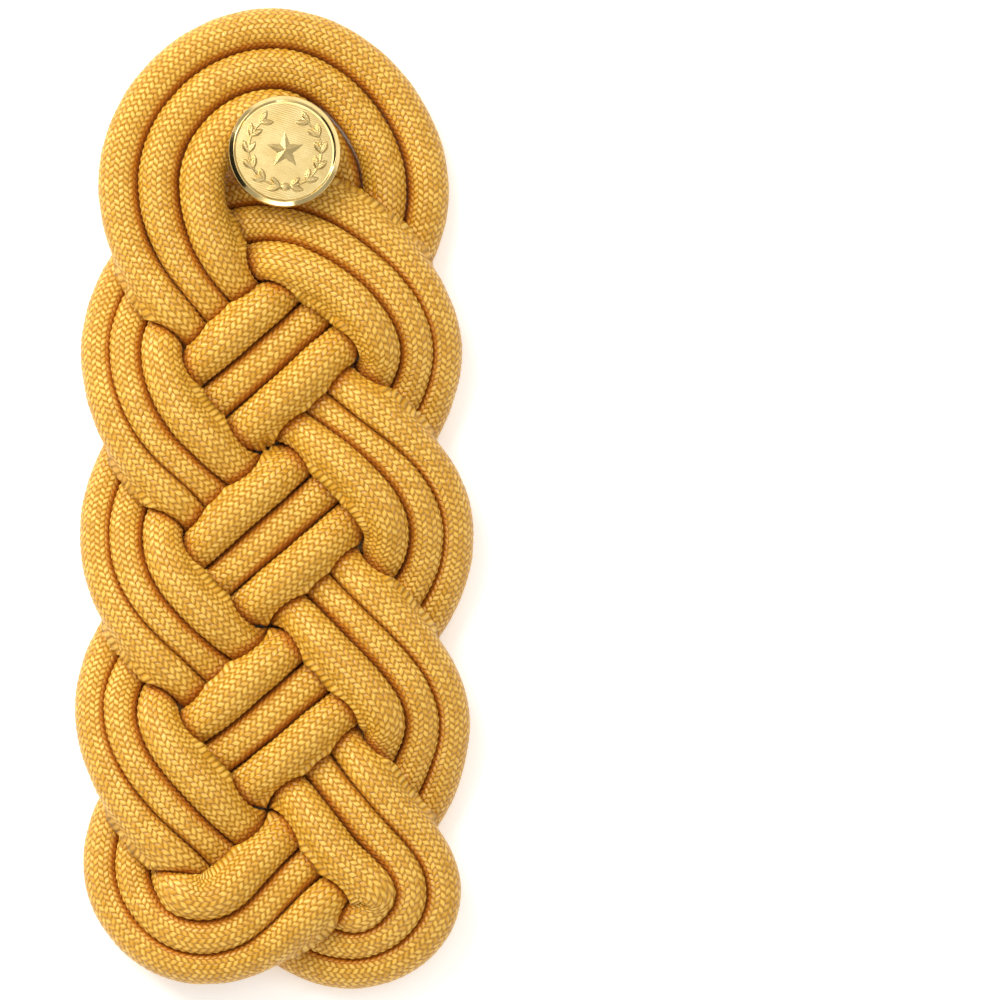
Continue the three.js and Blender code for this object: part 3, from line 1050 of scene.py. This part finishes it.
@dataclass(frozen=True)
class BraidedViscose:
    """Viscose cord from a round braiding machine.

    Silky filament yarn lies in slanting stitches: a highlight is painted on each crest, and
    painted shade makes the yarn a darker gold where it dips under the next. Between two cords
    shade is painted a deep red-brown, where only light that the yarn has thrown back and forth
    comes out. Its filaments are drawn several times as coarse as real ones, or they wouldn't
    show.
    """

    name: str = "gold_viscose_braid"
    # gap and dip are painted shade in the stitches' creases and dips, crest is a painted
    # highlight on their tops, and yarn is the yarn's own gold.
    gap: str = "#b47c16"
    painted_dip_shade: str = "#c98d1e"
    dip_place: float = 0.35
    yarn: str = "#dea024"
    yarn_place: float = 0.7
    crest: str = "#f4c354"
    # Painted shade between cords: its red-brown, and how much of it is mixed in where
    # neighbours hide the cord.
    painted_groove_shade: str = "#c06216"
    painted_shade_share: float = 0.8
    roughness: float = 0.3
    ior: float = 1.53
    sheen: float = 0.1
    sheen_roughness: float = 0.4
    sheen_tint: str = "#ffe2a0"
    stitch_depth: float = 0.16
    stitch_ends: float = 0.4
    lively: float = 0.6
    silk: float = 0.7
    filaments_across: float = 1.5
    filaments_along: float = 9.0
    filament_rise: float = 0.2

    def stitches(self, braid: BraidSizes) -> tuple[NodeRow, ...]:
        """The pattern of slanting stitches on the cord's own map.

        In a stitch, t and u run from -1 to 1 across its thread and along it. It rises
        1 - t^2 - ends u^4. Its shade is the rise, made more or less by a chance of its own, and
        the noise of its filaments. The colour follows it: painted shade in the dips and a
        painted highlight on the crests.

        Args:
            braid: sizes of the cord that wears it.

        Returns:
            Its nodes, of which shade and height are for the finish.
        """
        scale = (braid.columns, braid.stitches_per_uv, 1)
        filaments = {"Vector": "fine", "Scale": 1.0, "Detail": 2.0}
        return (
            ("uv", "UVMap", {"uv_map": "braid"}, {}),
            ("map", "Mapping", {}, {"Vector": "uv", "Scale": scale}),
            ("at", "SeparateXYZ", {}, {0: "map"}),
            ("column", "Math", "FLOOR", ("at.X",)),
            ("odd", "Math", "MODULO", ("column", 2.0)),
            ("hand", "Math", "MULTIPLY_ADD", ("odd", -2.0, 1.0)),
            ("column_share", "Math", "FRACT", ("at.X",)),
            ("off", "Math", "SUBTRACT", ("column_share", 0.5)),
            ("lean", "Math", "MULTIPLY", ("hand", "off")),
            ("slide", "Math", "MULTIPLY", ("lean", braid.slant_share())),
            ("stepped", "Math", "MULTIPLY_ADD", ("odd", 0.5, "at.Y")),
            ("thread", "Math", "ADD", ("stepped", "slide")),
            ("stitch", "Math", "FLOOR", ("thread",)),
            ("stitch_share", "Math", "FRACT", ("thread",)),
            ("from_crest", "Math", "SUBTRACT", ("stitch_share", 0.5)),
            ("t", "Math", "DIVIDE", ("from_crest", 0.5)),
            ("thick", "Math", "POWER", ("t", 2.0)),
            ("u", "Math", "DIVIDE", ("off", 0.5)),
            ("long", "Math", "POWER", ("u", 4.0)),
            ("ends", "Math", "MULTIPLY", ("long", self.stitch_ends)),
            ("round", "Math", "SUBTRACT", (1.0, "thick")),
            ("rise", "Math", "SUBTRACT", ("round", "ends")),
            ("fine_x", "Math", "MULTIPLY", ("at.X", self.filaments_across)),
            ("fine_y", "Math", "MULTIPLY", ("thread", self.filaments_along)),
            ("fine", "CombineXYZ", {}, {"X": "fine_x", "Y": "fine_y"}),
            ("filaments", "TexNoise", {"noise_dimensions": "2D"}, filaments),
            ("cell", "CombineXYZ", {}, {"X": "column", "Y": "stitch"}),
            ("chance", "TexWhiteNoise", {"noise_dimensions": "3D"}, {"Vector": "cell"}),
            ("lively", "Math", "MULTIPLY_ADD", ("chance.Value", self.lively, -self.lively / 2)),
            ("silk", "Math", "MULTIPLY_ADD", ("filaments", self.silk, -self.silk / 2)),
            ("more", "Math", "MULTIPLY", ("lively", "rise")),
            ("lit", "Math", "ADD", ("rise", "more")),
            ("shade", "Math", "ADD", ("lit", "silk")),
            ("height", "Math", "MULTIPLY_ADD", ("filaments", self.filament_rise, "rise")),
        )

    def build(self, braid: BraidSizes) -> Material:
        """Makes the finish.

        Args:
            braid: sizes of the cord that wears it.

        Returns:
            The material, which follows the cord's own map.
        """
        colours = {0: "depth", 6: "ramp", 7: linear(self.painted_groove_shade)}
        skin = {
            "Base Color": "colour.2",
            "Roughness": self.roughness,
            "IOR": self.ior,
            "Sheen Weight": self.sheen,
            "Sheen Roughness": self.sheen_roughness,
            "Sheen Tint": linear(self.sheen_tint),
            "Normal": "bump",
        }
        rows = (
            *self.stitches(braid),
            # The ramp paints shade in the stitches' dips and a highlight on their crests.
            ("ramp", "ValToRGB", {}, {0: "shade"}),
            # Painted shade: where neighbours hide the cord, its colour turns red-brown.
            ("hidden", "Attribute", {"attribute_name": "hidden"}, {}),
            ("depth", "Math", "MULTIPLY", ("hidden.Fac", self.painted_shade_share)),
            ("colour", "Mix", {"data_type": "RGBA"}, colours),
            bump("height", self.stitch_depth),
        )
        material, nodes = make_finish(self.name, rows, skin)
        elements = nodes["ramp"].color_ramp.elements
        elements[0].color, elements[1].color = linear(self.gap), linear(self.crest)
        elements.new(self.dip_place).color = linear(self.painted_dip_shade)
        elements.new(self.yarn_place).color = linear(self.yarn)
        return material


@dataclass(frozen=True)
class GiltBrass:
    """Brass struck in a die and gilt.

    The ground and relief keep the die's fine matt skin, with ruled lines behind the
    relief, and the rim is polished bright. The skin's grain is drawn coarser than it is.
    """

    name: str = "struck_gilt_brass"
    gold: str = "#e9d49a"
    shade: str = "#c9a862"
    ground_roughness: float = 0.36
    rim_roughness: float = 0.12
    line_spacing: float = 0.3
    line_depth: float = 0.02
    line_share: float = 0.5
    line_turn: float = math.radians(-18)
    cloud_size: float = 2.5
    grain_size: float = 0.12
    rim_blend: tuple[float, float] = (0.02, -0.05)

    def ruling(self, button: StampedButton) -> tuple[NodeRow, ...]:
        """The pattern of a struck face: ruled lines inside a bright rim.

        The lines are sin(2 pi y / spacing) in the face's own y, laid over the grain.

        Args:
            button: the button that wears it.

        Returns:
            Its nodes, of which height and roughness are for the finish.
        """
        size = button.sizes
        turn = 2 * math.pi / (self.line_spacing * MM)
        rim = size.diameter / 2 - size.rim_width
        start, stop = ((rim + blend) * MM for blend in self.rim_blend)
        seat = {
            "Vector": "place.Object",
            "Location": tuple(button.seat * MM),
            "Rotation": (0, 0, self.line_turn),
        }
        inside = {"Value": "radius.Value", "From Min": start, "From Max": stop}
        skins = {0: "inside", 2: self.rim_roughness, 3: self.ground_roughness}
        return (
            ("own", "Mapping", {"vector_type": "TEXTURE"}, seat),
            ("at", "SeparateXYZ", {}, {0: "own"}),
            ("turns", "Math", "MULTIPLY", ("at.Y", turn)),
            ("lines", "Math", "SINE", ("turns",)),
            ("flat", "VectorMath", "MULTIPLY", ("own", (1, 1, 0))),
            ("radius", "VectorMath", "LENGTH", ("flat",)),
            ("inside", "MapRange", {}, inside),
            ("roughness", "Mix", {"data_type": "FLOAT"}, skins),
            ("ruled", "Math", "MULTIPLY_ADD", ("lines", self.line_share, "grain")),
            ("height", "Math", "MULTIPLY", ("ruled", "inside")),
        )

    def build(self, button: StampedButton | None) -> Material:
        """Makes the finish.

        Args:
            button: the button whose face is ruled and whose rim is bright, or none for
                plain gilt.

        Returns:
            The material, on object coordinates.
        """
        tones = {0: "cloud", 6: linear(self.gold), 7: linear(self.shade)}
        skin = {
            "Base Color": "tone.2",
            "Metallic": 1.0,
            "Roughness": "roughness" if button else self.ground_roughness,
            "Normal": "bump",
        }
        rows = (
            ("place", "TexCoord", {}, {}),
            ("cloud", "TexNoise", {}, grains(self.cloud_size, 3.0)),
            ("tone", "Mix", {"data_type": "RGBA"}, tones),
            ("grain", "TexNoise", {}, grains(self.grain_size, 2.0)),
            *(self.ruling(button) if button else ()),
            bump("height" if button else "grain", self.line_depth),
        )
        return make_finish(self.name, rows, skin)[0]


@dataclass(frozen=True)
class PaintedGlowFloor:
    """Opal acrylic sheet, matt, with a painted glow as if lit softly from below, so that
    shadows on it are faint.
    """

    name: str = "opal_acrylic_painted_glow"
    colour: str = "#fdfdfb"
    # Painted light: how strongly the sheet glows, which lifts the knot's shadows on it.
    glow: float = 0.3
    masked: tuple[float, float] = (0.018, 0.056)
    mask_blend: float = 0.25
    grain_size: float = 0.8
    grain_depth: float = 0.02
    grain_strength: float = 0.2
    roughness: float = 0.9

    def build(self) -> Material:
        """Makes the finish, with its painted glow masked off under the knot.

        The mask is an ellipse: the painted glow rises from none to its full strength where the
        length of (x / masked x, y / masked y) goes from 1 to 1 + blend.

        Returns:
            The material, on object coordinates.
        """
        (low_x, low_y, _), (high_x, high_y, _) = CAD_BOX
        centre = ((low_x + high_x) / 2, (low_y + high_y) / 2, 0)
        scale = (1 / self.masked[0], 1 / self.masked[1], 0)
        glow = {
            "Value": "share.Value",
            "From Min": 1.0,
            "From Max": 1 + self.mask_blend,
            "To Max": self.glow,
        }
        skin = {
            "Base Color": linear(self.colour),
            "Roughness": self.roughness,
            "Emission Color": linear(self.colour),
            "Emission Strength": "glow",
            "Normal": "bump",
        }
        rows = (
            ("place", "TexCoord", {}, {}),
            ("grain", "TexNoise", {}, grains(self.grain_size, 2.0)),
            bump("grain", self.grain_depth, self.grain_strength),
            ("off", "VectorMath", "SUBTRACT", ("place.Object", centre)),
            ("shares", "VectorMath", "MULTIPLY", ("off", scale)),
            ("share", "VectorMath", "LENGTH", ("shares",)),
            ("glow", "MapRange", {}, glow),
        )
        return make_finish(self.name, rows, skin)[0]


@dataclass(frozen=True)
class BlackCard:
    """Black card, matt: it throws almost nothing back."""

    name: str = "black_card"
    colour: str = "#0c0b0a"
    roughness: float = 0.9

    def build(self) -> Material:
        """Makes the finish."""
        skin = {"Base Color": linear(self.colour), "Roughness": self.roughness}
        return make_finish(self.name, (), skin)[0]


class Softbox(NamedTuple):
    """A soft light: name, place, width and height in metres, power in watts, colour."""

    name: str
    place: tuple[float, float, float]
    width: float
    height: float
    power: float
    colour: str


@dataclass(frozen=True)
class Studio:
    """The camera, the pale floor and the soft lights, in metres."""

    view_width: float = 0.142
    view_centre: tuple[float, float] = (0.0321, -0.0002)
    view_height: float = 3.0
    lit_level: float = 0.008
    sensor: float = 36.0
    floor_size: float = 4.0
    softboxes: tuple[Softbox, ...] = (
        Softbox("top_light", (-0.5, 0.7, 1.0), 0.6, 0.6, 9.5, "#fffdf8"),
        Softbox("over_light", (0.25, 0.3, 1.05), 0.7, 0.7, 2.6, "#ffffff"),
        Softbox("low_light", (-0.75, 0.6, 0.38), 0.22, 0.22, 4.0, "#fff6ea"),
        Softbox("strip_light", (-0.08, -0.9, 0.42), 0.85, 0.1, 1.4, "#ffffff"),
    )
    flag_place: tuple[float, float, float] = (-0.62, -0.02, 0.3)
    flag_size: tuple[float, float] = (0.9, 0.44)
    sky_strength: float = 0.55

    def build(self) -> None:
        """Makes the camera, the lights, the sky, the floor and the black card."""
        bpy.context.scene.view_settings.view_transform = "Standard"
        self.make_camera()
        self.make_lights()
        self.make_floor()
        self.make_flag()

    def make_camera(self) -> None:
        """Looks straight down, with the photograph's frame as wide as the view."""
        data = bpy.data.cameras.new("camera")
        data.sensor_width = self.sensor
        distance = self.view_height - self.lit_level
        data.lens = self.sensor * distance / self.view_width
        camera = bpy.data.objects.new("camera", data)
        camera.location = (*self.view_centre, self.view_height)
        bpy.context.scene.collection.objects.link(camera)
        bpy.context.scene.camera = camera

    def make_lights(self) -> None:
        """Puts up the softboxes, aimed at the knot, and an even sky."""
        for box in self.softboxes:
            data = bpy.data.lights.new(box.name, "AREA")
            data.shape = "RECTANGLE"
            data.size, data.size_y = box.width, box.height
            data.energy = box.power
            data.color = linear(box.colour)[:3]
            lamp = bpy.data.objects.new(box.name, data)
            lamp.location = box.place
            lamp.visible_camera = False
            lamp.rotation_mode = "QUATERNION"
            lamp.rotation_quaternion = (-Vector(box.place)).to_track_quat("-Z", "Y")
            bpy.context.scene.collection.objects.link(lamp)
        world = bpy.data.worlds.new("studio")
        world.use_nodes = True
        background = world.node_tree.nodes["Background"]
        background.inputs["Color"].default_value = (1, 1, 1, 1)
        background.inputs["Strength"].default_value = self.sky_strength
        bpy.context.scene.world = world

    def make_floor(self) -> None:
        """Lays a flat sheet level with the knot's base."""
        half = self.floor_size / 2
        corners = np.array([[a * half, b * half, 0] for a, b in SQUARE_CORNERS])
        floor = mesh_object("floor", corners, np.array([[0, 1, 2, 3]]), PaintedGlowFloor().build())

    def make_flag(self) -> None:
        """Stands a black card to the left, which only the button's bright rim mirrors."""
        half_width, half_height = self.flag_size[0] / 2, self.flag_size[1] / 2
        off = [[0, a * half_width, b * half_height] for a, b in SQUARE_CORNERS]
        corners = np.array(off) + self.flag_place
        flag = mesh_object("flag", corners, np.array([[0, 1, 2, 3]]), BlackCard().build())
        flag.visible_camera = False
        flag.visible_diffuse = False
        flag.visible_shadow = False


def report(piece: Object) -> None:
    """Logs a piece's vertices and triangles.

    Args:
        piece: the piece.
    """
    mesh = piece.data
    triangles = sum(len(face.vertices) - 2 for face in mesh.polygons)
    LOG.info("%s: %d vertices, %d triangles", piece.name, len(mesh.vertices), triangles)


def main() -> None:
    """Builds the studio, the cords and the button, and reports each piece."""
    logging.basicConfig(level=logging.INFO, format="%(name)s: %(message)s")
    Studio().build()

    sizes = PlaitSizes()
    routes = [Route(line) for line in Plait(sizes).settled()]
    yarn = BraidedViscose().build(BraidSizes())
    nodes = ("cord_inner", "cord_middle", "cord_outer")
    for seed, (node, route) in enumerate(zip(nodes, routes)):
        cord = BraidedCord(f"{node}_braid", node, route, routes, seed)
        report(cord.build(sizes.shift(), yarn))
        LOG.info("%s is %.0f mm long", node, route.length)

    button = StampedButton()
    report(button.build(GiltBrass().build(button)))
    back = frame["nodes"]["button_back"]
    plain_gilt = GiltBrass(name="plain_gilt_brass").build(None)
    for place in back.material_slots:
        place.material = plain_gilt
    report(back)


if __name__ == "__main__":
    main()
